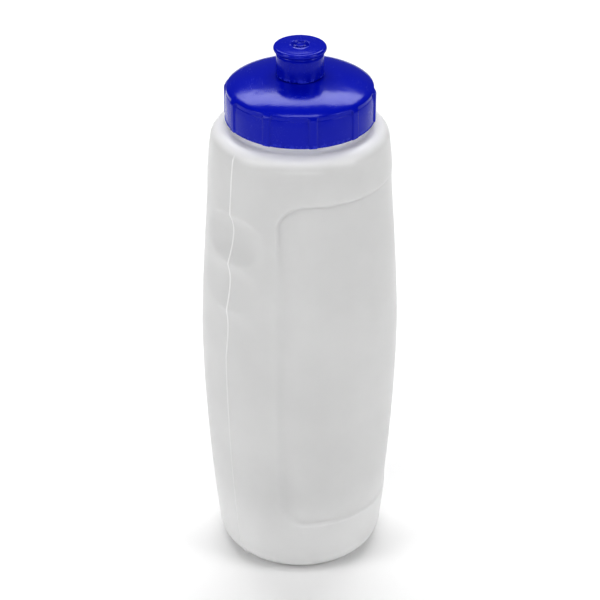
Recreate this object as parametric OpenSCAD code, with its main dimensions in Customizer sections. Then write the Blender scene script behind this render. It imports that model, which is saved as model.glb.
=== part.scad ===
// Squeeze bottle with a screw cap and a push-pull drinking spout.
// Millimetres, +Z up, origin on the ground under the bottle's axis.
// The front of the bottle faces -Y. A heading is an angle about +Z, counted from -Y towards +X.

/* [Bottle body] */
// Radius of the belly at its widest
belly_r = 40.75; // [39:0.25:43]
// Height of the widest place
belly_z = 108; // [104:1:112]
// How much the body narrows towards the foot, over foot_span
foot_taper = 4.05; // [3:0.05:5]
// Height over which the foot taper is measured
foot_span = 78; // [74:1:82]
// How much the body narrows towards the shoulder, over top_span
top_taper = 3.35; // [2.8:0.05:3.8]
// Height over which the shoulder taper is measured
top_span = 62; // [58:1:66]
// Radius of the rounded corner between the side and the foot
corner_r = 10; // [9:0.5:11]
// Height of the hollow in the middle of the base
punt_h = 4.5; // [3:0.5:6]
// Width of the flat ring that the bottle stands on
foot_w = 2.5; // [1.5:0.25:4]
// Radius at the shoulder's edge
shoulder_r = 35.65; // [35:0.05:36]
// Rounding of the shoulder's edge
shoulder_edge_r = 6.15; // [5:0.05:6.5]
// Height of the shoulder's flat top
shoulder_z = 196.3; // [196:0.1:197]
// Wall thickness under the label panels, where it is thinnest
wall = 1; // [0.8:0.1:1.3]

/* [Label panels] */
// Depth of each label panel
panel_d = 0.65; // [0.4:0.05:0.9]
// Height of the lower edge of the panels
panel_z0 = 26; // [22:1:32]
// Height of the upper edge of the panels
panel_z1 = 177; // [170:1:180]
// Heading of the middle of the first panel
panel_mid = 42.5; // [40:0.5:46]
// Angle that each panel spans
panel_span = 114; // [100:1:120]

/* [Finger grips] */
// Heights of the middles of the three grips
grip_z = [158.2, 136.9, 115.5]; // [100:0.1:170]
// Depths of the three grips
grip_d = [2.4, 1.5, 1]; // [0.5:0.1:3]
// Half heights of the three grips
grip_h = [10.2, 9.8, 10.4]; // [9:0.1:10.5]
// Half width of a grip around the body
grip_w = 16; // [14:0.5:18]
// Heading of the mould's parting line, which the grips straddle
seam_heading = -47; // [-50:1:-44]

/* [Neck and thread] */
// Outer radius of the neck
neck_r = 26.8; // [26.6:0.1:27]
// Inner radius of the neck
mouth_r = 25; // [24.5:0.1:25.3]
// Height of the neck's rim
neck_z = 209.9; // [209.6:0.1:210]
// Pitch of the screw thread
pitch = 4.233; // [4:0.001:4.5]
// Radius of the crest of the neck's thread
thread_r = 28; // [27.8:0.05:28.05]
// Turns of thread on the neck
neck_turns = 1.4; // [1:0.1:1.5]
// Turns of thread in the cap
cap_turns = 1.1; // [0.8:0.1:1.2]

/* [Cap] */
// Radius of the cap
cap_r = 30; // [29.8:0.1:31]
// Height of the cap's lower rim
cap_z0 = 199.3; // [198.8:0.1:199.6]
// Height at which the skirt starts to round over into the dome
cap_z1 = 210.6; // [210.5:0.1:210.9]
// Height that the dome would reach on the axis
dome_z = 217.6; // [217.4:0.1:217.8]
// Number of flush ribs around the skirt
ribs = 10; // [8:1:12]
// Width of a rib
rib_w = 2.6; // [2:0.1:3.2]
// Depth of the skirt's panels between the ribs
skirt_panel_d = 0.5; // [0.3:0.05:0.6]
// Inner radius of the skirt
bore_r = 28.3; // [28.3:0.05:28.5]

/* [Spout] */
// Outer radius of the spout's barrel
barrel_r = 9.4; // [9.2:0.1:9.8]
// Radius of the spout's lip
lip_r = 10.45; // [10.2:0.05:11]
// Travel of the spout from shut to open
spout_travel = 5.4; // [4.6:0.1:5.5]
// Radius of the drinking hole
hole_r = 1.75; // [1.75:0.05:2]

/* [Hidden] */
$fn = 96;
body_steps = 20;            // rings that make the body's long curve
foot_power = 1.9;           // how the lower curve bends
top_power = 1.35;           // how the upper curve bends
skin = wall + panel_d;      // thickness of the wall beside the panels
foot_r = body_r(corner_r) - corner_r;
shoulder_c = [shoulder_r - shoulder_edge_r, shoulder_z - shoulder_edge_r];
side_z = shoulder_c[1] - 4; // where the body's curve ends and the shoulder's rounding begins
punt_r = foot_r - foot_w;
thread_z = 201;             // height of the lower end of the neck's thread
seal_gap = 0.1;             // air above and below the washer
washer_t = 1.2;
washer_r = 27.8;
ceiling_z = neck_z + washer_t + 2 * seal_gap;
tower_r = 7.2;              // outside of the tube that the spout slides on
tower_bore_r = 5.6;
tower_z = 226.8;
bead_r = 7.9;               // stop bead at the top of the tower
dome_power = 2.6;           // how flat the dome's middle is
edge_power = 1.75;          // how square the dome's edge is
seat_z = cap_top(barrel_r + 1); // flat ring under the spout
pin_r = 1.6;                // valve pin that plugs the drinking hole
pin_z = 229.8;
spoke_z = 222;
cap_t = 1.8;                // thickness of the cap's dome
dome_steps = 12;            // rings that make the dome
spout_z = seat_z + 0.15;
spout_top_z = 230.4;
spout_bore_r = 7.5;         // lower lip of the spout, held by the tower's bead
spout_lip_t = 1.2;
spout_cavity_r = 8.2;
spout_ceiling_z = 227.2;
bead_z = spout_z + spout_lip_t + spout_travel + 0.15;

// Radius of the body beside the panels at height z
function body_r(z) = z < belly_z
    ? belly_r - foot_taper * pow((belly_z - z) / foot_span, foot_power)
    : belly_r - top_taper * pow((z - belly_z) / top_span, top_power);

// Height of the cap's dome at radius r
function cap_top(r) = cap_z1 + (dome_z - cap_z1) * pow(1 - pow(r / cap_r, dome_power), 1 / edge_power);

// Point on the dome at radius r, moved inwards by inset
function dome_point(r, inset) =
    let (slope = (cap_top(r - 0.05) - cap_top(r)) / 0.05)
    [r, cap_top(r)] - inset * [slope, 1] / norm([slope, 1]);

// Points on an arc about c, from angle a0 to angle a1
function arc(c, r, a0, a1, n) =
    [for (i = [0:n]) let (a = a0 + (a1 - a0) * i / n) c + r * [cos(a), sin(a)]];

// Points on the body's long curve, moved inwards by inset
function side(z0, z1, inset, n = body_steps) =
    [for (i = [0:n]) let (z = z0 + (z1 - z0) * i / n) [body_r(z) - inset, z]];

// Half outline from the middle of the base up to the shoulder, moved inwards by inset
function shell(inset) =
    let (sag = (punt_r * punt_r + punt_h * punt_h) / (2 * punt_h),
         half = asin(punt_r / sag))
    concat(
        arc([0, punt_h - sag], sag + inset, 90, 90 - half, 6),
        arc([foot_r, corner_r], corner_r - inset, -90, -8, 8),
        side(corner_r + 2, side_z, inset),
        arc(shoulder_c, shoulder_edge_r - inset, 7, 86, 8));

module bottle_outside() {
    rotate_extrude()
        polygon(concat(shell(0), [
            [neck_r + 0.8, shoulder_z + 0.1],
            [neck_r, shoulder_z + 0.9],
            [neck_r, neck_z - 0.4],
            [neck_r - 0.4, neck_z],
            [0, neck_z]]));
}

module bottle_cavity() {
    rotate_extrude()
        polygon(concat(shell(skin), [
            [mouth_r + 0.8, shoulder_z - skin],
            [mouth_r, shoulder_z - skin + 0.8],
            [mouth_r, neck_z + 1],
            [0, neck_z + 1]]));
}

// The space that a label panel takes out of the body's side
module label_panel(heading) {
    rotate([0, 0, heading - 90 - panel_span / 2])
        rotate_extrude(angle = panel_span)
            polygon(concat(side(panel_z0, panel_z1, panel_d, 16), [
                [belly_r + 10, panel_z1],
                [belly_r + 10, panel_z0]]));
}

// Ring whose inner side presses finger grip i into the body; grow thickens the ring
module grip_ring(i, grow) {
    r = body_r(grip_z[i]);
    tube_r = (grip_h[i] * grip_h[i] + grip_d[i] * grip_d[i]) / (2 * grip_d[i]);
    drop = r - grip_d[i] - sqrt(r * r - grip_w * grip_w);
    floor_r = (grip_w * grip_w + drop * drop) / (2 * drop);
    rotate([0, 0, seam_heading])
        translate([0, floor_r - r + grip_d[i], grip_z[i]])
            rotate_extrude()
                translate([floor_r + tube_r, 0])
                    circle(tube_r + grow);
}

// Helical ridge: from radius r0 to crest radius r1, starting at height z
module thread(r0, r1, z, turns) {
    steps = 32;
    n = round(turns * steps);
    foot = 1.0;
    crest = 0.5;
    fade = 4;
    ring = [for (i = [0:n])
        let (a = 360 * i / steps,
             h = z + pitch * i / steps,
             f = min(1, 0.1 + min(i, n - i) / fade),
             r = r0 + (r1 - r0) * f,
             w = foot + (crest - foot) * f)
        each [
            [r0 * cos(a), r0 * sin(a), h - foot],
            [r * cos(a), r * sin(a), h - w],
            [r * cos(a), r * sin(a), h + w],
            [r0 * cos(a), r0 * sin(a), h + foot]]];
    flip = r1 > r0 ? [2, 1, 0] : [0, 1, 2];
    sides = [for (i = [0:n - 1], k = [0:3])
        let (a = 4 * i + k, b = 4 * i + (k + 1) % 4)
        each [[a, a + 4, b], [b, a + 4, b + 4]]];
    ends = [[0, 1, 2], [0, 2, 3], [4 * n, 4 * n + 2, 4 * n + 1], [4 * n, 4 * n + 3, 4 * n + 2]];
    polyhedron(ring, [for (f = concat(sides, ends)) [f[flip[0]], f[flip[1]], f[flip[2]]]]);
}

// Blow-moulded body with its label panels, finger grips, punt and threaded neck
module bottle() {
    color("gainsboro", 0.7) {
        difference() {
            bottle_outside();
            label_panel(panel_mid);
            label_panel(panel_mid + 180);
            for (i = [0:2]) grip_ring(i, 0);
            difference() {
                bottle_cavity();
                for (i = [0:2]) grip_ring(i, wall);
            }
        }
        thread(neck_r - 0.5, thread_r, thread_z, neck_turns);
    }
}

// Flat ring that seals the neck's rim against the cap
module seal_washer() {
    color("whitesmoke")
        translate([0, 0, neck_z + seal_gap])
            difference() {
                cylinder(h = washer_t, r = washer_r);
                translate([0, 0, -1]) cylinder(h = washer_t + 2, r = mouth_r - 0.4);
            }
}

module cap_shell() {
    rotate_extrude()
        polygon(concat(
            [[bore_r, cap_z0], [cap_r - 0.3, cap_z0], [cap_r, cap_z0 + 0.3]],
            [for (i = [0:dome_steps])
                let (r = cap_r - (cap_r - barrel_r - 1) * pow(i / dome_steps, 2))
                [r, cap_top(r)]],
            [[tower_r, seat_z],
             [tower_r, bead_z],
             [bead_r, bead_z + 0.3],
             [bead_r, bead_z + 0.6],
             [tower_r, tower_z],
             [tower_bore_r, tower_z],
             [tower_bore_r, seat_z - cap_t]],
            [for (r = [14:3:23]) [r, cap_top(r) - cap_t]],
            [[24, ceiling_z],
             [bore_r, ceiling_z]]));
}

// The space between two ribs of the skirt
module skirt_panel() {
    rib_angle = rib_w / cap_r * 180 / PI;
    panel_in_r = 27; // where a panel ends on the rounded edge
    rotate([0, 0, rib_angle / 2])
        rotate_extrude(angle = 360 / ribs - rib_angle)
            polygon(concat(
                [[cap_r - skirt_panel_d, cap_z0 - 1],
                 [cap_r + 1, cap_z0 - 1],
                 [cap_r + 1, cap_top(panel_in_r) + 1],
                 dome_point(panel_in_r, -1)],
                [for (i = [0:5]) dome_point(panel_in_r + (cap_r - 0.1 - panel_in_r) * i / 5, skirt_panel_d)]));
}

// Pin in the middle of the tower, carried by three spokes; its tip plugs the spout
module valve_pin() {
    translate([0, 0, spoke_z - 1]) cylinder(h = pin_z - 0.4 - spoke_z + 1, r = pin_r);
    translate([0, 0, pin_z - 0.4]) cylinder(h = 0.4, r1 = pin_r, r2 = pin_r - 0.5);
    for (k = [0:2])
        rotate([0, 0, 120 * k])
            translate([0, -0.6, spoke_z]) cube([tower_bore_r + 0.5, 1.2, tower_z - spoke_z - 0.3]);
}

// Screw cap: ribbed skirt, inner thread, tower and valve pin in one moulding
module cap() {
    rib_heading = 10;
    color("mediumblue") {
        difference() {
            cap_shell();
            for (k = [0:ribs - 1])
                rotate([0, 0, rib_heading - 90 + 360 / ribs * k]) skirt_panel();
        }
        thread(bore_r + 0.5, neck_r + 0.35, thread_z + pitch / 2, cap_turns);
        valve_pin();
    }
}

// Push-pull spout: slides up the tower until its lower lip meets the bead
module spout() {
    flare = 4;
    color("mediumblue")
        rotate_extrude()
            polygon(concat(
                [[spout_bore_r, spout_z], [barrel_r - 0.2, spout_z], [barrel_r, spout_z + 0.2]],
                [for (i = [0:6])
                    [barrel_r + (lip_r - barrel_r) * pow(i / 6, 2), spout_top_z - 2 - flare * (1 - i / 6)]],
                arc([lip_r - 1.1, spout_top_z - 1.7], 1.1, 5, 75, 5),
                arc([0, spout_top_z - 32], 32, 73.5, 83, 4),
                [[3.2, spout_top_z - 0.3],
                 [2.6, spout_top_z - 1],
                 [hole_r, spout_top_z - 1.2],
                 [hole_r, spout_ceiling_z],
                 [spout_cavity_r, spout_ceiling_z],
                 [spout_cavity_r, spout_z + spout_lip_t],
                 [spout_bore_r, spout_z + spout_lip_t]]));
}

bottle();
seal_washer();
cap();
spout();
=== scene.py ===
# %% [markdown]
# # A squeeze bottle with a push-pull cap
# This notebook builds the looks of a sports bottle around its CAD frame, which holds every size,
# joint and travel. The frame is loaded first, and nothing in it is moved. The bottle's body, its
# screw cap and its spout are rebuilt here as finer meshes of the same size, because a moulded
# surface has things that plain solids leave out: a parting line, soft-edged dents and a step that
# runs round the label. The flat washer inside the cap keeps its CAD shape.

# %% Load the frame
import math

import bpy
import numpy as np
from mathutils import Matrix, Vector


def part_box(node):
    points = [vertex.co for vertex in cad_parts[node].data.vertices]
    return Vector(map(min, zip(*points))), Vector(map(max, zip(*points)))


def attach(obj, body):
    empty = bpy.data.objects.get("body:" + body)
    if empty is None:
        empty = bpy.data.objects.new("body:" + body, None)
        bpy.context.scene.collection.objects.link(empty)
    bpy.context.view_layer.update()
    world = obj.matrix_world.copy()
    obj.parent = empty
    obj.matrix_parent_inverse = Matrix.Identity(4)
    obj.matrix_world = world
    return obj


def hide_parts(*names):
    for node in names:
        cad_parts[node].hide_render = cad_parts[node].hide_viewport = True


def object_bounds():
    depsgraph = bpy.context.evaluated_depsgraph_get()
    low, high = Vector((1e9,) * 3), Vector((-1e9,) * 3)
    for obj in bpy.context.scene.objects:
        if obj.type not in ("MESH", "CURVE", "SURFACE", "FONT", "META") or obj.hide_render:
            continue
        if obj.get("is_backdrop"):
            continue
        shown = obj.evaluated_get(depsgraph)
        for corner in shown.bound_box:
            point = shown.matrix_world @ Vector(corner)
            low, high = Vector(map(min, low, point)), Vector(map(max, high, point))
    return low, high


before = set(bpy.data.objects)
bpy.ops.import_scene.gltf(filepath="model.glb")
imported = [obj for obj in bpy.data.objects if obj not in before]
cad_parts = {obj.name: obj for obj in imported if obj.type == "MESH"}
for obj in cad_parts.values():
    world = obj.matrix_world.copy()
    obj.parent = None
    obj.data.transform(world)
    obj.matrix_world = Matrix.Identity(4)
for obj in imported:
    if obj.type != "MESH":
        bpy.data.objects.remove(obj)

cad_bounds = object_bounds()

# %% [markdown]
# ## Sizes
# The heights come from the frame's boxes, so the pieces meet where the CAD says. Lengths are worked
# out in millimetres, as a drawing has them, and every mesh is brought to metres at the end. A
# heading is an angle round the bottle's axis, counted from the front, which faces -Y, towards +X.

# %% Heights from the frame
MM = 0.001


def heights(node):
    """Lowest and highest point of a CAD node, in millimetres."""
    low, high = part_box(node)
    return low.z / MM, high.z / MM


NECK_TOP = heights("bottle")[1]
CAP_RIM = heights("cap")[0]
SPOUT_FOOT, SPOUT_TOP = heights("spout")
print(f"neck {NECK_TOP:.1f}, cap rim {CAP_RIM:.1f}, spout {SPOUT_FOOT:.1f} to {SPOUT_TOP:.1f} mm")

# %% [markdown]
# ## Camera
# A long lens from a little under a metre away, looking down by thirty degrees, shows the cap's top
# and keeps the sides of the body nearly parallel. It is made first.

# %% Camera
LOOK_AT = 115.1 * MM
DISTANCE = 0.940
LOOK_DOWN = math.radians(30.53)
SENSOR, LENS = 36, 136.75

camera_data = bpy.data.cameras.new("camera")
camera_data.sensor_width = SENSOR
camera_data.lens = LENS
camera = bpy.data.objects.new("camera", camera_data)
camera.location = (0, -DISTANCE * math.cos(LOOK_DOWN), LOOK_AT + DISTANCE * math.sin(LOOK_DOWN))
camera.rotation_euler = (math.pi / 2 - LOOK_DOWN, 0, 0)
bpy.context.scene.collection.objects.link(camera)
bpy.context.scene.camera = camera
print("camera at", [round(v, 3) for v in camera.location])

# %% [markdown]
# ## A way to make turned shapes with relief
# Each piece is nearly a turned shape: an outline swept round the axis. What isn't turned, such as a
# dent or a thread, is a relief, a small push along the surface's normal. So one function takes an
# outline, the headings of the columns and a relief, and gives a closed mesh. Working from a
# function keeps the surface exact wherever more rows are needed.

# %% Outlines
def arc(centre, radius, start, stop, steps):
    """Points on an arc, with angles in degrees from the outward direction."""
    angles = np.radians(np.linspace(start, stop, steps + 1))
    return np.stack([centre[0] + radius * np.cos(angles), centre[1] + radius * np.sin(angles)], 1)


def line(start, stop, steps):
    """Points on a straight line, without the first one."""
    share = np.linspace(0, 1, steps + 1)[1:, None]
    return np.array(start) * (1 - share) + np.array(stop) * share


TINY = 1e-6


def graded(start, stop, coarse, zones=()):
    """Stations from start up to stop, coarse apart, and finer in zones of (from, to, step)."""
    marks, here = [], start
    while here < stop - TINY:
        marks.append(here)
        step = next((s for a, b, s in zones if a - TINY <= here < b - TINY), coarse)
        edges = [e for a, b, _ in zones for e in (a, b) if e > here + TINY]
        here = min([here + step, *edges, stop])
    return np.array(marks)


def upright(r, levels):
    """Points on a wall of one radius, at the levels given."""
    return np.stack([np.full(len(levels), r), levels], 1)


print("a quarter arc of radius 2 in 2 steps:", arc((0, 0), 2, 0, 90, 2).round(2).tolist())

# %% [markdown]
# A turned mesh needs its faces numbered once: each row of points is joined to the next one, and a
# row's last point to its first. Where the outline meets the axis, all of a row's points would fall
# on one spot, so a single point and a fan of triangles close the shape instead.

# %% Turned mesh with relief
def smooth_step(value):
    """0 below 0, 1 above 1, and a smooth S between."""
    value = np.clip(value, 0, 1)
    return value * value * (3 - 2 * value)


def turned(outline, headings, relief=None, ring=False):
    """Vertices and faces of an outline swept round Z. A ring's outline closes on itself;
    any other outline starts and ends on the axis, where a single point closes it."""
    rows = outline if ring else outline[1:-1]
    before = np.roll(rows, 1, 0) if ring else outline[:-2]
    after = np.roll(rows, -1, 0) if ring else outline[2:]
    along = after - before
    normal = np.stack([along[:, 1], -along[:, 0]], 1)
    normal /= np.linalg.norm(normal, axis=1, keepdims=True)
    r, z = rows[:, :1], rows[:, 1:]
    push = relief(r, z, headings[None, :]) if relief else np.zeros((len(rows), len(headings)))
    r, z = r + normal[:, :1] * push, z + normal[:, 1:] * push
    turn = np.radians(headings)[None, :]
    points = np.stack([r * np.sin(turn), -r * np.cos(turn), z + 0 * turn], 2)
    count, wide = points.shape[:2]
    index = np.arange(count * wide).reshape(count, wide)
    below, above = (index, np.roll(index, -1, 0)) if ring else (index[:-1], index[1:])
    quads = [below, np.roll(below, -1, 1), np.roll(above, -1, 1), above]
    faces = np.stack([q.ravel() for q in quads], 1).tolist()
    vertices = points.reshape(-1, 3)
    if not ring:
        ends = np.array([[0, 0, outline[0][1]], [0, 0, outline[-1][1]]])
        start, stop = len(vertices), len(vertices) + 1
        vertices = np.concatenate([vertices, ends])
        first, last = index[0], index[-1]
        faces += [[start, b, a] for a, b in zip(first, np.roll(first, -1))]
        faces += [[stop, a, b] for a, b in zip(last, np.roll(last, -1))]
    return vertices, faces


# %% [markdown]
# Every piece is made in the same way: its shells become one mesh, which is hung on an empty for
# the frame's body that carries it, and the plain CAD solid that it stands for is hidden.

# %% Pieces
def piece(name, shells, body, node):
    """One smooth-shaded object made of closed shells, riding on a body of the frame."""
    vertices, faces, used = [], [], 0
    for points, sides in shells:
        vertices.append(np.asarray(points) * MM)
        faces += [[i + used for i in side] for side in sides]
        used += len(points)
    mesh = bpy.data.meshes.new(name)
    mesh.from_pydata(np.concatenate(vertices).tolist(), [], faces)
    mesh.polygons.foreach_set("use_smooth", [True] * len(faces))
    made = bpy.data.objects.new(name, mesh)
    bpy.context.scene.collection.objects.link(made)
    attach(made, body)
    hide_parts(node)
    print(f"{name}: {len(mesh.vertices)} points, {len(mesh.polygons)} faces")
    return made


# %% [markdown]
# ## The body's outline
# The body is blown from a soft tube of polyethylene, so it is one skin about a millimetre thick
# with no sharp inner corners. Its side is a long curve, widest a little below the middle, that
# draws in more towards the foot than towards the shoulder. Two powers of the height say that. The
# foot is a rounded corner round a shallow hollow, which lets the bottle stand on a ring.

# %% Outline of the body
WALL = 1.0
BELLY_R, BELLY_Z = 40.75, 108
LOWER_DRAW, LOWER_REACH, LOWER_POWER = 4.05, 78, 1.9
UPPER_DRAW, UPPER_REACH, UPPER_POWER = 3.35, 62, 1.35
CORNER_R = 10
FOOT_W = 2.5
PUNT, PUNT_POWER = 4.5, 1.3
SHOULDER_Z, SHOULDER_R, SHOULDER_EDGE = 196.3, 35.65, 6.15
NECK_R, MOUTH_R = 26.8, 25.0


def side_r(z):
    """Radius of the body beside the label panels."""
    lower = LOWER_DRAW * (np.clip(BELLY_Z - z, 0, None) / LOWER_REACH) ** LOWER_POWER
    upper = UPPER_DRAW * (np.clip(z - BELLY_Z, 0, None) / UPPER_REACH) ** UPPER_POWER
    return BELLY_R - lower - upper


FOOT_R = float(side_r(CORNER_R)) - CORNER_R
SHOULDER_C = (SHOULDER_R - SHOULDER_EDGE, SHOULDER_Z - SHOULDER_EDGE)


def skin(inset, side_rows):
    """Outline from the middle of the base to the shoulder's flat top, moved inwards by inset."""
    r = np.linspace(0, FOOT_R - FOOT_W, 12)
    base = np.stack([r, inset + PUNT * (1 - (r / r[-1]) ** 2) ** PUNT_POWER], 1)
    side = np.stack([side_r(side_rows) - inset, side_rows], 1)
    return np.concatenate([
        base,
        line(base[-1], (FOOT_R, inset), 2)[:-1],
        arc((FOOT_R, CORNER_R), CORNER_R - inset, -90, -8, 14),
        side,
        arc(SHOULDER_C, SHOULDER_EDGE - inset, 7, 84, 14)])


print(f"ring {2 * FOOT_R:.1f} mm across, belly {2 * BELLY_R:.1f}, shoulder {2 * SHOULDER_R:.1f}")

# %% [markdown]
# ## What the mould adds to the body
# Four things are pressed into or raised from the turned shape. Two label panels, opposite each
# other, are a little deeper than the rest, with a narrow sloping step round them. Three finger
# grips are shallow ovals, steep at the top and flat below. The parting line is a fine ridge where
# the mould's halves met, and it runs through the grips. The thread is a ridge round the neck. Each
# is a function of height and heading, so the relief is simply their sum.

# %% Label panels
PANEL_DEPTH, PANEL_STEP, PANEL_CORNER = 0.65, 1.1, 11
INNER_STEP = 3.5
PANEL_Z0, PANEL_Z1 = 26, 178.2
PANEL_MID, PANEL_SPAN = 42.5, 114
SIDE_BAND, SIDE_FADE, SIDE_SOFT = 12, 9, 2.4
SOFT_BELOW, SOFT_OVER = 168, 22
FAINT_BELOW, FAINT_OVER, FAINT_SOFT = 60, 20, 0.15
CREASE, SOFT_CREASE = 0.12, 0.2


def from_heading(headings, middle):
    """Angle from a middle heading, between -180 and 180 degrees."""
    return (headings - middle + 180) % 360 - 180


def inside_corner(across, up, corner):
    """Distance inside a rounded corner, from how far a point is past its centre both ways."""
    outside = np.hypot(np.clip(across, 0, None), np.clip(up, 0, None))
    return corner - outside - np.minimum(np.maximum(across, up), 0)


def inside_panel(r, z, headings):
    """Distance inside the nearer label panel's rounded edge, in millimetres."""
    turn = from_heading(headings * 2, PANEL_MID * 2) / 2
    across = np.abs(np.radians(turn)) * r - math.radians(PANEL_SPAN / 2) * r + PANEL_CORNER
    up = np.abs(z - (PANEL_Z0 + PANEL_Z1) / 2) - (PANEL_Z1 - PANEL_Z0) / 2 + PANEL_CORNER
    return inside_corner(across, up, PANEL_CORNER)


def panels(r, z, headings, step):
    """Depth of the label panels: a crisp step above and below, and a softer one at the sides."""
    turn = np.abs(from_heading(headings * 2, PANEL_MID * 2)) / 2
    at_side = smooth_step((np.radians(turn - PANEL_SPAN / 2) * r + SIDE_BAND) / SIDE_FADE)
    at_side = at_side * smooth_step((SOFT_BELOW - z) / SOFT_OVER)
    soft = np.maximum(at_side, FAINT_SOFT * smooth_step((FAINT_BELOW - z) / FAINT_OVER))
    share = inside_panel(r, z, headings) / (step + SIDE_SOFT * soft)
    crease = CREASE + SOFT_CREASE * soft
    ramp = np.sqrt(share ** 2 + crease ** 2) - np.sqrt((share - 1) ** 2 + crease ** 2)
    return PANEL_DEPTH * (ramp + 1) / 2


print(f"panels {PANEL_Z1 - PANEL_Z0:.1f} mm high, over {PANEL_SPAN} degrees, {PANEL_DEPTH} mm deep")

# %% [markdown]
# A grip's bowl is a superellipse of the distance across and up, with its edge rounded off so that
# no crease shows. The factor at the end makes it deeper towards the top, where a finger hooks in.
# The parting line is a narrow ridge, a little wider and higher under the foot, where the tube was
# pinched shut.

# %% Grips, parting line and thread
SEAM = -47
SEAM_H, SEAM_W = 0.3, 0.42
BASE_SEAM_H, BASE_SEAM_W = 0.45, 0.9
GRIPS = [(158.2, 10.4, 2.4), (136.9, 10.0, 1.5), (115.5, 10.4, 1.0)]
GRIP_HALF_W, GRIP_TILT = 16, 0.4
GRIP_POWER_ACROSS, GRIP_POWER_UP = 2.6, 2.2
GRIP_ROUNDING, GRIP_REACH = 0.008, 1.6
THREAD_START, THREAD_TURNS, PITCH, THREAD_R = 201, 1.4, 4.233, 28
THREAD_FOOT, THREAD_FLANK, THREAD_LEAD = 0.85, 0.42, 1 / 8
SIDE_Z0 = 12


def grips(r, z, headings):
    """Depth of the finger grips."""
    across = np.radians(from_heading(headings, SEAM)) * r / GRIP_HALF_W
    depth = 0
    for middle, half, deep in GRIPS:
        up = (z - middle) / half
        bowl = 1 - np.abs(across) ** GRIP_POWER_ACROSS - np.abs(up) ** GRIP_POWER_UP
        soft = (bowl + np.sqrt(bowl ** 2 + GRIP_ROUNDING)) / 2 * smooth_step(bowl + GRIP_REACH)
        depth = depth + deep * soft * (1 + GRIP_TILT * np.clip(up, -1, 1))
    return depth


def seam(r, z, headings):
    """Height of the parting line, which goes right round the body in one plane."""
    off = np.abs(r * np.sin(np.radians(from_heading(headings, SEAM))))
    on_base = z < CORNER_R * 0.4
    height = np.where(on_base, BASE_SEAM_H * smooth_step(z - 0.5), SEAM_H * smooth_step(z / SIDE_Z0))
    height = height * smooth_step((SHOULDER_Z - 1.5 - z) / 3)
    width = np.where(on_base, BASE_SEAM_W, SEAM_W)
    return height * smooth_step(1 - off / width)


def helix(z, headings, start, turns, foot):
    """Share of the thread's height: a trapezoid that climbs one pitch in each turn."""
    turn = ((headings - 90) % 360) / 360
    share = 0
    for lap in range(math.ceil(turns)):
        here = turn + lap
        flank = (foot - np.abs(z - start - PITCH * here)) / THREAD_FLANK
        fade = np.minimum(here, turns - here) / THREAD_LEAD
        share = share + np.clip(flank, 0, 1) * smooth_step(fade)
    return share


def outer_relief(r, z, headings):
    """Everything that the mould's surface adds to the body's outside."""
    on_side = (z > SIDE_Z0) & (z < SHOULDER_Z - 2) & (r > NECK_R + 5)
    dents = panels(r, z, headings, PANEL_STEP) + grips(r, z, headings)
    thread = helix(z, headings, THREAD_START, THREAD_TURNS, THREAD_FOOT) * (THREAD_R - NECK_R)
    on_neck = (r < NECK_R + 0.05) & (z > SHOULDER_Z)
    return seam(r, z, headings) * (r > 0) - dents * on_side + thread * on_neck


def inner_relief(r, z, headings):
    """The inside follows the outside's dents, softened, as blown skin does."""
    on_side = (z > SIDE_Z0) & (z < SHOULDER_Z - 2) & (r > MOUTH_R + 5)
    return (panels(r, z, headings, INNER_STEP) + grips(r, z, headings)) * on_side


for middle, _, _ in GRIPS:
    print(f"grip at {middle} mm is {grips(side_r(middle), middle, SEAM):.2f} mm deep in its middle")


# %% [markdown]
# ## The body's mesh
# The rows and columns are close together only where the relief changes quickly: at the panels'
# corners, along the parting line, through the grips and over the thread. Elsewhere a few degrees
# or millimetres apart is enough for a smooth curve.

# %% Rows and columns of the body
FINE_BAND = PANEL_CORNER + 1.5
SIDE_TOP = SHOULDER_C[1] - 3


def body_headings():
    """Columns, finer at the panels' sides and finest at the parting line."""
    coarse, fine, finest, seam_half = 2.5, 0.6, 0.3, 1.05
    corner_turn = math.degrees(FINE_BAND / 38)
    left, right = PANEL_MID - PANEL_SPAN / 2, PANEL_MID + PANEL_SPAN / 2
    zones = []
    for half_turn in (0, 180, -180):
        zones.append((left + half_turn - fine, left + half_turn + corner_turn, fine))
        zones.append((right + half_turn - corner_turn, right + half_turn + fine, fine))
        zones.append((SEAM + half_turn - seam_half, SEAM + half_turn + seam_half, finest))
    return graded(-100, 260, coarse, sorted(zones))


def body_rows():
    """Rows of the outside, finer through the grips and finest at the panels' ends."""
    coarse, fine, finest, margin, grips_from = 3, 1.2, 0.42, 0.8, 104
    return graded(SIDE_Z0, SIDE_TOP, coarse, [
        (PANEL_Z0 - margin, PANEL_Z0 + FINE_BAND, finest),
        (PANEL_Z1 - FINE_BAND, PANEL_Z1 + margin, finest),
        (grips_from, PANEL_Z1 - FINE_BAND, fine)])


print(len(body_headings()), "columns and", len(body_rows()), "rows on the side")

# %% Mesh of the body
NECK_FILLET, RIM_ROUND = 2.6, 0.45


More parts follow.
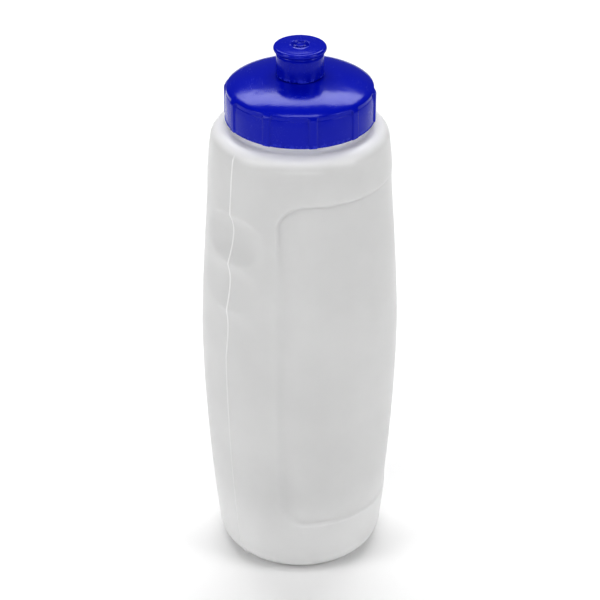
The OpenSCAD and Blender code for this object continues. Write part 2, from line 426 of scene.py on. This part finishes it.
def body_piece():
    """The blown body: outside, rim and inside as one closed skin."""
    outer = np.concatenate([
        skin(0, body_rows()),
        arc((NECK_R + NECK_FILLET, SHOULDER_Z + NECK_FILLET), -NECK_FILLET, 90, 0, 9),
        upright(NECK_R, graded(SHOULDER_Z + NECK_FILLET + 0.2, NECK_TOP - 0.5, 0.3)),
        arc((NECK_R - RIM_ROUND, NECK_TOP - RIM_ROUND), RIM_ROUND, 0, 90, 4)])
    inner = np.concatenate([
        skin(WALL, graded(SIDE_Z0, SIDE_TOP, 3.5)),
        arc((MOUTH_R + 1.2, SHOULDER_Z - WALL + 1.2), -1.2, 90, 0, 4),
        line((MOUTH_R, SHOULDER_Z + 0.4), (MOUTH_R, NECK_TOP - 0.4), 8),
        arc((MOUTH_R + 0.4, NECK_TOP - 0.4), 0.4, 180, 90, 3)[1:]])
    outline = np.concatenate([outer, inner[::-1]])
    last_outer = len(outer) - 2

    def relief(r, z, turn):
        outside = outer_relief(r, z, turn)
        inside = inner_relief(r, z, turn)
        is_outer = (np.arange(len(r)) <= last_outer)[:, None]
        return np.where(is_outer, outside, inside)

    shell = turned(outline, body_headings(), relief)
    return piece("bottle_body", [shell], "bottle", "bottle")


bottle = body_piece()

# %% [markdown]
# ## The screw cap
# The cap is injection moulded, so it is sharper and glossier than the body. Its outline is a closed
# loop: up the skirt, over the rounded edge, across the dome, up the tower that the
# spout slides on, down the tower's bore, across the ceiling and down the threaded bore of the
# skirt. Ten ribs stand flush with the edge. The panels between them are sunk by half a millimetre,
# with rounded upper corners, and lean in a little more at the top. They are pressed in towards the
# axis rather than along the normal, so that they end in one clean edge where they meet the dome.

# %% Cap sizes and relief
CAP_R, CAP_Z1, CAP_DOME = 30.0, 210.6, 217.6
DOME_POWER, EDGE_POWER = 2.6, 1.75
CAP_BORE, CAP_CEILING, CAP_T = 28.3, NECK_TOP + 1.4, 1.8
CAP_THREAD_R, CAP_THREAD_TURNS, CAP_THREAD_FOOT = NECK_R + 0.35, 1.1, 0.8
RIBS, RIB_W, RIB_HEADING = 10, 2.6, 10
GROOVE, GROOVE_STEP, GROOVE_CORNER = 0.55, 0.45, 2.4
GROOVE_TOP, GROOVE_SHEAR = 213.7, 0.6
LEAN, LEAN_BELOW_EDGE, LEAN_OVER = 0.45, 3, 4
SPOUT_R = 9.4
TOWER_R, TOWER_BORE, TOWER_TOP = 7.2, 5.6, 226.8
BEAD_R, BEAD_Z = 7.9, 224.25
PIN_R, PIN_TOP, SPOKE_Z = 1.6, 229.8, 222


def cap_top(r):
    """Height of the cap's dome, which rounds over into the skirt like a superellipse."""
    share = np.clip(1 - (r / CAP_R) ** DOME_POWER, 0, 1)
    return CAP_Z1 + (CAP_DOME - CAP_Z1) * share ** (1 / EDGE_POWER)


def dome_slope(r):
    """How steeply the cap's top falls outwards, always above 0."""
    nudge = 0.001
    near, far = np.clip(r - nudge, 0, CAP_R), np.clip(r + nudge, 0, CAP_R)
    return np.maximum((cap_top(near) - cap_top(far)) / (2 * nudge), 0.05)


def skirt_panels(r, z, headings):
    """Depth of the sunk panels between the ribs."""
    pitch = 360 / RIBS
    middle = RIB_HEADING + pitch / 2
    turn = (headings - middle + pitch / 2) % pitch - pitch / 2
    half = (math.radians(pitch) * CAP_R - RIB_W) / 2
    across = np.abs(np.radians(turn)) * CAP_R - half + GROOVE_CORNER
    up = z - GROOVE_TOP + np.clip(CAP_R - r, 0, None) * GROOVE_SHEAR + GROOVE_CORNER
    inside = inside_corner(across, up, GROOVE_CORNER)
    deep = GROOVE + LEAN * smooth_step((z - CAP_Z1 + LEAN_BELOW_EDGE) / LEAN_OVER)
    past = np.clip(r - CAP_R + deep * smooth_step(inside / GROOVE_STEP), 0, None)
    return past * np.where(z > CAP_Z1, np.hypot(1, 1 / dome_slope(r)), 1)


def cap_relief(r, z, headings):
    """Skirt panels outside, thread inside."""
    on_skirt = r > CAP_BORE + 0.4
    on_bore = (np.abs(r - CAP_BORE) < 0.02) & (z > CAP_RIM + 0.5) & (z < CAP_CEILING - 1)
    thread = helix(z, headings, THREAD_START + PITCH / 2, CAP_THREAD_TURNS, CAP_THREAD_FOOT)
    return (CAP_BORE - CAP_THREAD_R) * thread * on_bore - skirt_panels(r, z, headings) * on_skirt


print(f"the dome meets the spout at {cap_top(SPOUT_R):.1f} mm")

# %% [markdown]
# The bore's wall faces the axis, so its normal points inwards and a positive push there makes the
# thread stand out of the wall. The valve pin and its three spokes are closed shells of their own
# that run into the tower's wall, as they do in the moulding.

# %% Shells of the cap
def bar(start, stop, width, low, high):
    """A closed bar from radius start to stop along +X, between two heights."""
    corners = [(x, y, z) for z in (low, high) for x, y in
               ((start, -width / 2), (stop, -width / 2), (stop, width / 2), (start, width / 2))]
    sides = [[3, 2, 1, 0], [4, 5, 6, 7], [0, 1, 5, 4], [1, 2, 6, 5], [2, 3, 7, 6], [3, 0, 4, 7]]
    return np.array(corners), sides


def turned_by(shell, degrees):
    """A shell turned about Z."""
    points, sides = shell
    c, s = math.cos(math.radians(degrees)), math.sin(math.radians(degrees))
    return points @ np.array([[c, s, 0], [-s, c, 0], [0, 0, 1]]), sides


def cap_outline():
    """The cap's section, as a closed loop."""
    skirt = graded(CAP_RIM + 0.6, CAP_Z1, 1.3)
    share = np.linspace(0, 1, 56)
    dome_r = CAP_R - (CAP_R - SPOUT_R - 1) * share ** 2
    seat = cap_top(dome_r[-1])
    bore = graded(CAP_RIM + 0.6, CAP_CEILING - 0.8, 0.32)[::-1]
    inner_r = np.linspace(TOWER_BORE + 2, 23, 9)
    return np.concatenate([
        arc((CAP_R - 0.35, CAP_RIM + 0.35), 0.35, -90, 0, 3),
        upright(CAP_R, skirt),
        np.stack([dome_r, cap_top(dome_r)], 1),
        line((dome_r[-1], seat), (TOWER_R + 0.4, seat), 3),
        arc((TOWER_R + 0.4, seat + 0.4), 0.4, 270, 180, 3)[1:],
        line((TOWER_R, seat + 0.6), (TOWER_R, BEAD_Z), 3),
        arc((BEAD_R - 0.35, BEAD_Z + 0.35), 0.35, -80, 60, 5),
        line((BEAD_R - 0.4, BEAD_Z + 0.9), (TOWER_R, TOWER_TOP), 2),
        line((TOWER_R - 0.2, TOWER_TOP), (TOWER_BORE + 0.2, TOWER_TOP), 2),
        line((TOWER_BORE, TOWER_TOP - 0.2), (TOWER_BORE, seat - CAP_T + 0.5), 6),
        arc((TOWER_BORE + 0.5, seat - CAP_T + 0.5), 0.5, 180, 270, 3)[1:],
        np.stack([inner_r, cap_top(inner_r) - CAP_T], 1),
        line((24, CAP_CEILING), (CAP_BORE - 0.6, CAP_CEILING), 4),
        arc((CAP_BORE - 0.6, CAP_CEILING - 0.6), 0.6, 80, 10, 3),
        upright(CAP_BORE, bore),
        arc((CAP_BORE + 0.3, CAP_RIM + 0.3), 0.3, 180, 260, 2)])


def pin_outline():
    """The valve pin's section, from the axis to the axis."""
    foot = SPOKE_Z - 1
    return np.concatenate([
        [[0, foot]],
        line((0, foot), (PIN_R - 0.2, foot), 2),
        line((PIN_R, SPOKE_Z - 0.8), (PIN_R, PIN_TOP - 0.5), 5),
        arc((PIN_R - 0.5, PIN_TOP - 0.5), 0.5, 0, 90, 5)[1:],
        [[0, PIN_TOP]]])


print(len(cap_outline()), "rows in the cap,", len(pin_outline()), "in the pin")

# %% Mesh of the cap
SPOKES, SPOKE_W = 3, 1.2


def cap_headings():
    """Columns, finer beside each rib."""
    coarse, fine, overlap = 2, 0.5, 0.3
    pitch = 360 / RIBS
    half_rib = math.degrees(RIB_W / 2 / CAP_R)
    band = math.degrees((GROOVE_CORNER + 0.8) / CAP_R)
    zones = []
    for k in range(RIBS):
        rib = RIB_HEADING + k * pitch
        zones.append((rib - half_rib - band, rib - half_rib + overlap, fine))
        zones.append((rib + half_rib - overlap, rib + half_rib + band, fine))
    start = RIB_HEADING - pitch / 2
    return graded(start, start + 360, coarse, zones)


def cap_piece():
    """The cap's moulding with its tower, spokes and valve pin."""
    shells = [turned(cap_outline(), cap_headings(), cap_relief, ring=True),
              turned(pin_outline(), np.arange(0, 360, 12))]
    for k in range(SPOKES):
        spoke = bar(PIN_R - 0.4, TOWER_BORE + 0.5, SPOKE_W, SPOKE_Z, TOWER_TOP - 0.3)
        shells.append(turned_by(spoke, 360 / SPOKES * k))
    return piece("screw_cap", shells, "cap", "cap")


cap = cap_piece()

# %% [markdown]
# ## The spout
# The spout is a hollow barrel with a flared lip that teeth and fingers can pull. It sits on the cap
# when shut, and the valve pin then fills the hole in its top. A turned section is right for it: a
# straight barrel, a slight flare, a crease, a rolled bead and a low crown with a crater round the
# hole. The foot and the crater's rim are worn a little unevenly.

# %% Spout
LIP_R, SPOUT_BORE, SPOUT_CAVITY, SPOUT_CEILING = 10.45, 7.5, 8.2, 227.2
HOLE_R, CRATER_R = 1.75, 3.75
BARREL_TOP, FLARE, FLARE_H = SPOUT_TOP - 4.3, 0.28, 1.3
LIP_BEAD = 1.12
CROWN_FALL, CROWN_POWER = 0.5, 1.7


def spout_outline():
    """The spout's section, as a closed loop."""
    share = np.linspace(0, 1, 7)[1:]
    flare = np.stack([SPOUT_R + FLARE * share ** 1.5, BARREL_TOP + FLARE_H * share], 1)
    crown_in, crown_out = 4.3, LIP_R - 0.9
    crown_r = np.linspace(crown_out, crown_in, 10)
    fall = CROWN_FALL * ((crown_r - crown_in) / (crown_out - crown_in)) ** CROWN_POWER
    crown_z = SPOUT_TOP - 0.15 - fall
    return np.concatenate([
        arc((SPOUT_R - 0.3, SPOUT_FOOT + 0.3), 0.3, -90, 0, 3),
        line((SPOUT_R, SPOUT_FOOT + 0.5), (SPOUT_R, BARREL_TOP), 6),
        flare,
        [[SPOUT_R + 0.1, SPOUT_TOP - 2.9], [SPOUT_R + 0.12, SPOUT_TOP - 2.72]],
        arc((LIP_R - LIP_BEAD, SPOUT_TOP - 1.6), LIP_BEAD, -58, 76, 14),
        np.stack([crown_r, crown_z], 1)[1:],
        arc((CRATER_R, SPOUT_TOP - 0.35), 0.35, 60, 180, 6),
        line((3.2, SPOUT_TOP - 0.6), (2.5, SPOUT_TOP - 1.2), 3),
        line((2.3, SPOUT_TOP - 1.3), (HOLE_R + 0.15, SPOUT_TOP - 1.35), 2),
        line((HOLE_R, SPOUT_TOP - 1.5), (HOLE_R, SPOUT_CEILING), 3),
        line((HOLE_R + 0.2, SPOUT_CEILING), (SPOUT_CAVITY - 0.4, SPOUT_CEILING), 4),
        line((SPOUT_CAVITY, SPOUT_CEILING - 0.4), (SPOUT_CAVITY, SPOUT_FOOT + 1.4), 5),
        line((SPOUT_CAVITY - 0.1, SPOUT_FOOT + 1.2), (SPOUT_BORE + 0.1, SPOUT_FOOT + 1.2), 2),
        line((SPOUT_BORE, SPOUT_FOOT + 1.1), (SPOUT_BORE, SPOUT_FOOT + 0.1), 2)])


def spout_relief(r, z, headings):
    """Bite marks along the foot and a crater rim that isn't quite round."""
    turn = np.radians(headings)
    foot = np.exp(-((z - SPOUT_FOOT - 0.3) / 0.5) ** 2) * (r > SPOUT_R - 0.5)
    nicks = 0.10 * np.sin(5 * turn + 0.7) + 0.07 * np.sin(11 * turn) + 0.05 * np.sin(17 * turn + 2)
    rim = np.exp(-((r - CRATER_R + 0.05) / 0.5) ** 2) * (z > SPOUT_TOP - 0.8)
    return foot * nicks + 0.08 * rim * (np.sin(3 * turn + 1) + 0.6 * np.sin(7 * turn))


spout_shell = turned(spout_outline(), np.arange(0, 360, 2.5), spout_relief, ring=True)
spout = piece("drink_spout", [spout_shell], "spout", "spout")

# %% [markdown]
# ## Writing materials as sums
# A finish is mostly arithmetic on patterns. A small class wraps an output socket, so that a sum or
# a product of two of them adds the Math node for it, and one method makes every other node. The
# sums then read as they would on paper.

# %% Shader maths
class Wire:
    """An output socket that takes part in sums."""

    def __init__(self, finish, socket):
        self.finish, self.socket = finish, socket

    def maths(self, operation, first, second):
        return self.finish.node("Math", {"operation": operation}, {0: first, 1: second})

    def __add__(self, other):
        return self.maths("ADD", self, other)

    def __sub__(self, other):
        return self.maths("SUBTRACT", self, other)

    def __rsub__(self, other):
        return self.maths("SUBTRACT", other, self)

    def __mul__(self, other):
        return self.maths("MULTIPLY", self, other)

    __radd__ = __add__
    __rmul__ = __mul__


print("sums of sockets: +, - and *")

# %% [markdown]
# A finish is one Principled shader with its pattern nodes. Its short methods each stand for one
# question that a surface asks: where is this point, how noisy is it here, is a value between two
# limits, and what lies between two colours.

# %% Finishes
class Finish:
    """A material with one Principled shader."""

    def __init__(self, name):
        self.material = bpy.data.materials.new(name)
        self.material.use_nodes = True
        self.tree = self.material.node_tree
        self.shader = self.tree.nodes["Principled BSDF"]
        self.place = self.node("TexCoord", output="Object")

    def node(self, kind, settings=None, inputs=None, output=0):
        """A node of any type: its settings first, then the values or links of its sockets."""
        made = self.tree.nodes.new("ShaderNode" + kind)
        for key, value in (settings or {}).items():
            setattr(made, key, value)
        for key, value in (inputs or {}).items():
            self.feed(made.inputs[key], value)
        return Wire(self, made.outputs[output])

    def feed(self, socket, value):
        """Gives a socket a plain value or a link."""
        if isinstance(value, Wire):
            self.tree.links.new(value.socket, socket)
        else:
            socket.default_value = value

    def set(self, **values):
        """Values or links for the shader's sockets, named with underscores for spaces."""
        for key, value in values.items():
            self.feed(self.shader.inputs[key.replace("_", " ")], value)

    def stretched(self, x, y, z):
        """The object's own coordinates, scaled along each axis."""
        return self.node("Mapping", {}, {"Vector": self.place, "Scale": (x, y, z)})

    def noise(self, place, scale, detail=2.0, roughness=0.5):
        """Soft random values between 0 and 1."""
        return self.node("TexNoise", {}, {"Vector": place, "Scale": scale, "Detail": detail,
                                          "Roughness": roughness})

    def between(self, value, low, high):
        """0 where value is low or less, 1 where it is high or more, smooth between."""
        return self.node("MapRange", {"interpolation_type": "SMOOTHSTEP"},
                         {"Value": value, "From Min": low, "From Max": high})

    def blend(self, share, first, second):
        """A colour between two others."""
        return self.node("Mix", {"data_type": "RGBA"}, {0: share, 6: first, 7: second}, 2)

    def bump(self, height, distance):
        """A normal tilted by a height."""
        return self.node("Bump", {}, {"Height": height, "Distance": distance, "Strength": 1.0})

    def height(self):
        """Height above the ground in metres."""
        return self.node("SeparateXYZ", {}, {0: self.place}, "Z")


def paint(obj, finish):
    """Gives an object one finish all over."""
    obj.data.materials.clear()
    obj.data.materials.append(finish.material)
    print(f"{obj.name}: {finish.material.name}, {len(finish.tree.nodes)} nodes")


def grey(value):
    """A neutral colour."""
    return (value, value, value, 1)


# %% [markdown]
# ## Milky polyethylene
# Natural low-density polyethylene is milky rather than white: light enters it, spreads a few
# millimetres and comes out again. Subsurface scattering with a radius wider than the wall does
# that, so light leaks through the skin as in a real bottle. Just under the cap's rim and towards
# the foot the colour is painted whiter: a painted light that stands in for light coming through
# the wall into the shade there. Along the parting line it is whiter too, partly from the pinched
# plastic and partly as a painted highlight on the ridge. The surface is satin, with faint
# lengthwise streaks from the die that the tube was extruded through, a low ripple, and fine
# scuffs.

# %% Body finish
# THIN and CLOUDED are the plastic's own tones. The third colour is a painted light, a white put just
# under the cap's rim and towards the foot in place of light coming through the wall into shade; the
# fourth is whiter pinched plastic together with a painted highlight along the parting line.
THIN, CLOUDED, PAINTED_LIGHT_WHITE, PINCH_WHITE_AND_HIGHLIGHT = grey(0.625), grey(0.655), grey(0.92), grey(0.85)
FOOT_PAINTED_LIGHT_FADE = (0.014, 0.045)
NECK_PAINTED_LIGHT_FADE = (0.1925, 0.196)
# Width and ends of the parting line's whiter band, which is partly pinched plastic and partly a
# painted highlight.
PINCH_AND_HIGHLIGHT_HALF = (0.00012, 0.0005)
PINCH_AND_HIGHLIGHT_END, PINCH_AND_HIGHLIGHT_FAINT = (0.1915, 0.1945), (0.06, 0.14)


def body_finish():
    """Cloudy, soft and satin, with painted light under the cap's rim and towards the foot, and a
    whiter parting line that is partly a painted highlight.
    """
    f = Finish("milky_polyethylene")
    streaks = f.noise(f.stretched(1, 1, 0.06), 200, 2)
    clouds = f.noise(f.place, 28, 3)
    ripple = f.noise(f.stretched(1, 1, 0.5), 90, 2)
    grain = f.noise(f.place, 1400, 2)
    scuffs = f.between(f.noise(f.stretched(1, 1, 3), 160, 6, 0.7), 0.62, 0.75)
    # Painted light: masks that make the colour lighter towards the foot and just under the cap's
    # rim, standing in for light through the wall.
    foot = 1 - f.between(f.height(), *FOOT_PAINTED_LIGHT_FADE)
    neck = f.between(f.height(), *NECK_PAINTED_LIGHT_FADE)
    facing = f.node("VectorRotate", {"rotation_type": "Z_AXIS"},
                    {"Vector": f.place, "Angle": math.radians(-SEAM)})
    off_seam = f.node("Math", {"operation": "ABSOLUTE"},
                      {0: f.node("SeparateXYZ", {}, {0: facing}, "X")})
    # Parting line band: partly whiter pinched plastic, partly a painted highlight on the ridge.
    pinch_and_highlight = 1 - f.between(off_seam, *PINCH_AND_HIGHLIGHT_HALF)
    pinch_and_highlight = pinch_and_highlight * (1 - f.between(f.height(), *PINCH_AND_HIGHLIGHT_END))
    pinch_and_highlight = pinch_and_highlight * (0.3 + 0.7 * f.between(f.height(), *PINCH_AND_HIGHLIGHT_FAINT))
    milky = f.blend(f.between(clouds, 0.3, 0.7), THIN, CLOUDED)
    # Painted light mixed into the milky colour by the foot and neck masks.
    milky_with_painted_light = f.blend(foot * 0.3 + neck, milky, PAINTED_LIGHT_WHITE)
    f.set(
        Base_Color=f.blend(pinch_and_highlight * 0.8, milky_with_painted_light, PINCH_WHITE_AND_HIGHLIGHT),
        Roughness=0.30 + 0.06 * streaks + 0.12 * scuffs,
        IOR=1.51,
        Specular_IOR_Level=0.5,
        Subsurface_Weight=1.0,
        Subsurface_Radius=(1, 1, 1),
        Subsurface_Scale=0.0025,
        Normal=f.bump(streaks * 0.25 + ripple + grain * 0.12, 0.1 * MM))
    return f


paint(bottle, body_finish())

# %% [markdown]
# ## Blue cap plastic
# The cap and spout are a deep royal blue that shines. What tells them from a computer's blue is
# wear: hair-fine scratches on the top in all directions, patches of pale haze, chips along the
# lower edge that teeth and fingers knock, and a surface that isn't optically flat. The spout is
# worn more than the cap, so both take the same finish with their own share of wear.

# %% Cap and spout finish
BLUE = (0.001, 0.010, 0.39, 1)
WORN_BLUE = (0.05, 0.07, 0.60, 1)


def scratches(f, angle, scale):
    """Thin streaks in one direction, broken up so that they start and stop."""
    turned_place = f.node("Mapping", {}, {"Vector": f.place, "Rotation": (0, 0, angle),
                                          "Scale": (1, 0.02, 1)})
    lines = f.between(f.noise(turned_place, scale, 1), 0.66, 0.70)
    patches = f.between(f.noise(f.place, 90, 1), 0.50, 0.66)
    return lines * patches


def blue_finish(name, wear, foot):
    """Glossy blue with a share of wear, and chips above the height of its foot."""
    f = Finish(name)
    marks = scratches(f, 0.5, 2600) + scratches(f, 1.9, 2300) + scratches(f, 2.7, 2900)
    specks = f.between(f.noise(f.place, 1500, 2), 0.66, 0.72)
    haze = f.between(f.noise(f.place, 220, 5, 0.65), 0.60, 0.78) + specks
    ripple = f.noise(f.place, 120, 2)
    pits = f.noise(f.place, 900, 3)
    rim = 1 - f.between(f.height(), foot + 0.0005, foot + 0.0022)
    chips = rim * f.between(f.noise(f.place, 700, 3), 0.46, 0.58)
    worn = f.node("Clamp", {}, {0: marks * 0.35 + (haze + chips) * wear})
    f.set(
        Base_Color=f.blend(worn * 0.5 + chips * wear, BLUE, WORN_BLUE),
        Roughness=0.15 + 0.25 * worn + 0.06 * ripple,
        IOR=1.5,
        Specular_IOR_Level=0.35,
        Subsurface_Weight=0.0,
        Normal=f.bump(ripple * 1.5 + pits * 0.12 - marks * 0.25, 0.08 * MM))
    return f


CAP_WEAR, SPOUT_WEAR = 0.25, 0.55
paint(cap, blue_finish("cap_blue", CAP_WEAR, CAP_RIM * MM))
paint(spout, blue_finish("spout_blue", SPOUT_WEAR, SPOUT_FOOT * MM))

# %% [markdown]
# ## Foam washer
# The washer is punched from closed-cell foam, which is pale, dull and finely pitted. Its CAD shape
# is right as it is, so it only gets this finish.

# %% Washer finish
FOAM_DARK, FOAM_LIGHT = (0.72, 0.72, 0.70, 1), (0.86, 0.86, 0.85, 1)


def washer_finish():
    """Pale foam with fine cells."""
    f = Finish("washer_foam")
    cells = f.noise(f.place, 2600, 2)
    f.set(
        Base_Color=f.blend(cells, FOAM_DARK, FOAM_LIGHT),
        Roughness=0.75 + 0.1 * cells,
        Normal=f.bump(cells, 0.1 * MM))
    return f


paint(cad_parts["seal_washer"], washer_finish())

# %% [markdown]
# ## Floor and light
# The bottle stands on a plain pale floor under large soft lamps. The one behind is what the cap's
# top reflects. One on each side brightens the body's edges, a low wide one in front reaches under
# the cap's rim, and a small one overhead fills the shoulder. The world is dim, so that the gloss
# has something dark to set off the lamps.

# %% Floor
def floor():
    """A plain square floor, which isn't part of the object."""
    mesh = bpy.data.meshes.new("floor")
    half = 4.0
    mesh.from_pydata([(-half, -half, 0), (half, -half, 0), (half, half, 0), (-half, half, 0)], [],
                     [(0, 1, 2, 3)])
    made = bpy.data.objects.new("floor", mesh)
    bpy.context.scene.collection.objects.link(made)
    made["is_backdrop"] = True
    f = Finish("floor_paint")
    f.set(Base_Color=grey(0.85), Roughness=0.9, Specular_IOR_Level=0.1)
    paint(made, f)


floor()

# %% Lamps and world
AIM = 0.11
WORLD_STRENGTH = 0.12


def lamp(name, heading, elevation, distance, size, power):
    """A rectangular lamp aimed at the bottle's middle from a heading and an elevation."""
    data = bpy.data.lights.new(name, "AREA")
    data.shape = "RECTANGLE"
    data.size, data.size_y = size
    data.energy = power
    made = bpy.data.objects.new(name, data)
    a, e = math.radians(heading), math.radians(elevation)
    made.location = (distance * math.sin(a) * math.cos(e), -distance * math.cos(a) * math.cos(e),
                     AIM + distance * math.sin(e))
    made.rotation_euler = (math.pi / 2 - e, 0, a)
    bpy.context.scene.collection.objects.link(made)
    print(f"{name}: {power} W at", [round(v, 2) for v in made.location])


lamp("lamp_back", 180, 54, 1.6, (2.0, 0.62), 17)
lamp("lamp_left", -64, 28, 1.5, (0.6, 1.1), 6.2)
lamp("lamp_right", 64, 28, 1.5, (0.6, 1.1), 5.8)
lamp("lamp_front", 0, 16, 2.0, (1.6, 0.5), 8)
lamp("lamp_over", 0, 80, 1.5, (0.9, 0.25), 3)

world = bpy.data.worlds.new("world")
world.use_nodes = True
background = world.node_tree.nodes["Background"]
background.inputs["Color"].default_value = (1, 1, 1, 1)
background.inputs["Strength"].default_value = WORLD_STRENGTH
bpy.context.scene.world = world
bpy.context.scene.view_settings.view_transform = "Standard"
bpy.context.scene.view_settings.look = "High Contrast"

# %% [markdown]
# ## Sizes before and after
# The finer meshes have to stay in the CAD model's box.

# %% Bounds and finish
shown_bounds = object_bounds()
sizes = {"cad": [list(v) for v in cad_bounds], "shown": [list(v) for v in shown_bounds]}
for key, (low, high) in sizes.items():
    print(key, [round((b - a) / MM, 2) for a, b in zip(low, high)], "mm")
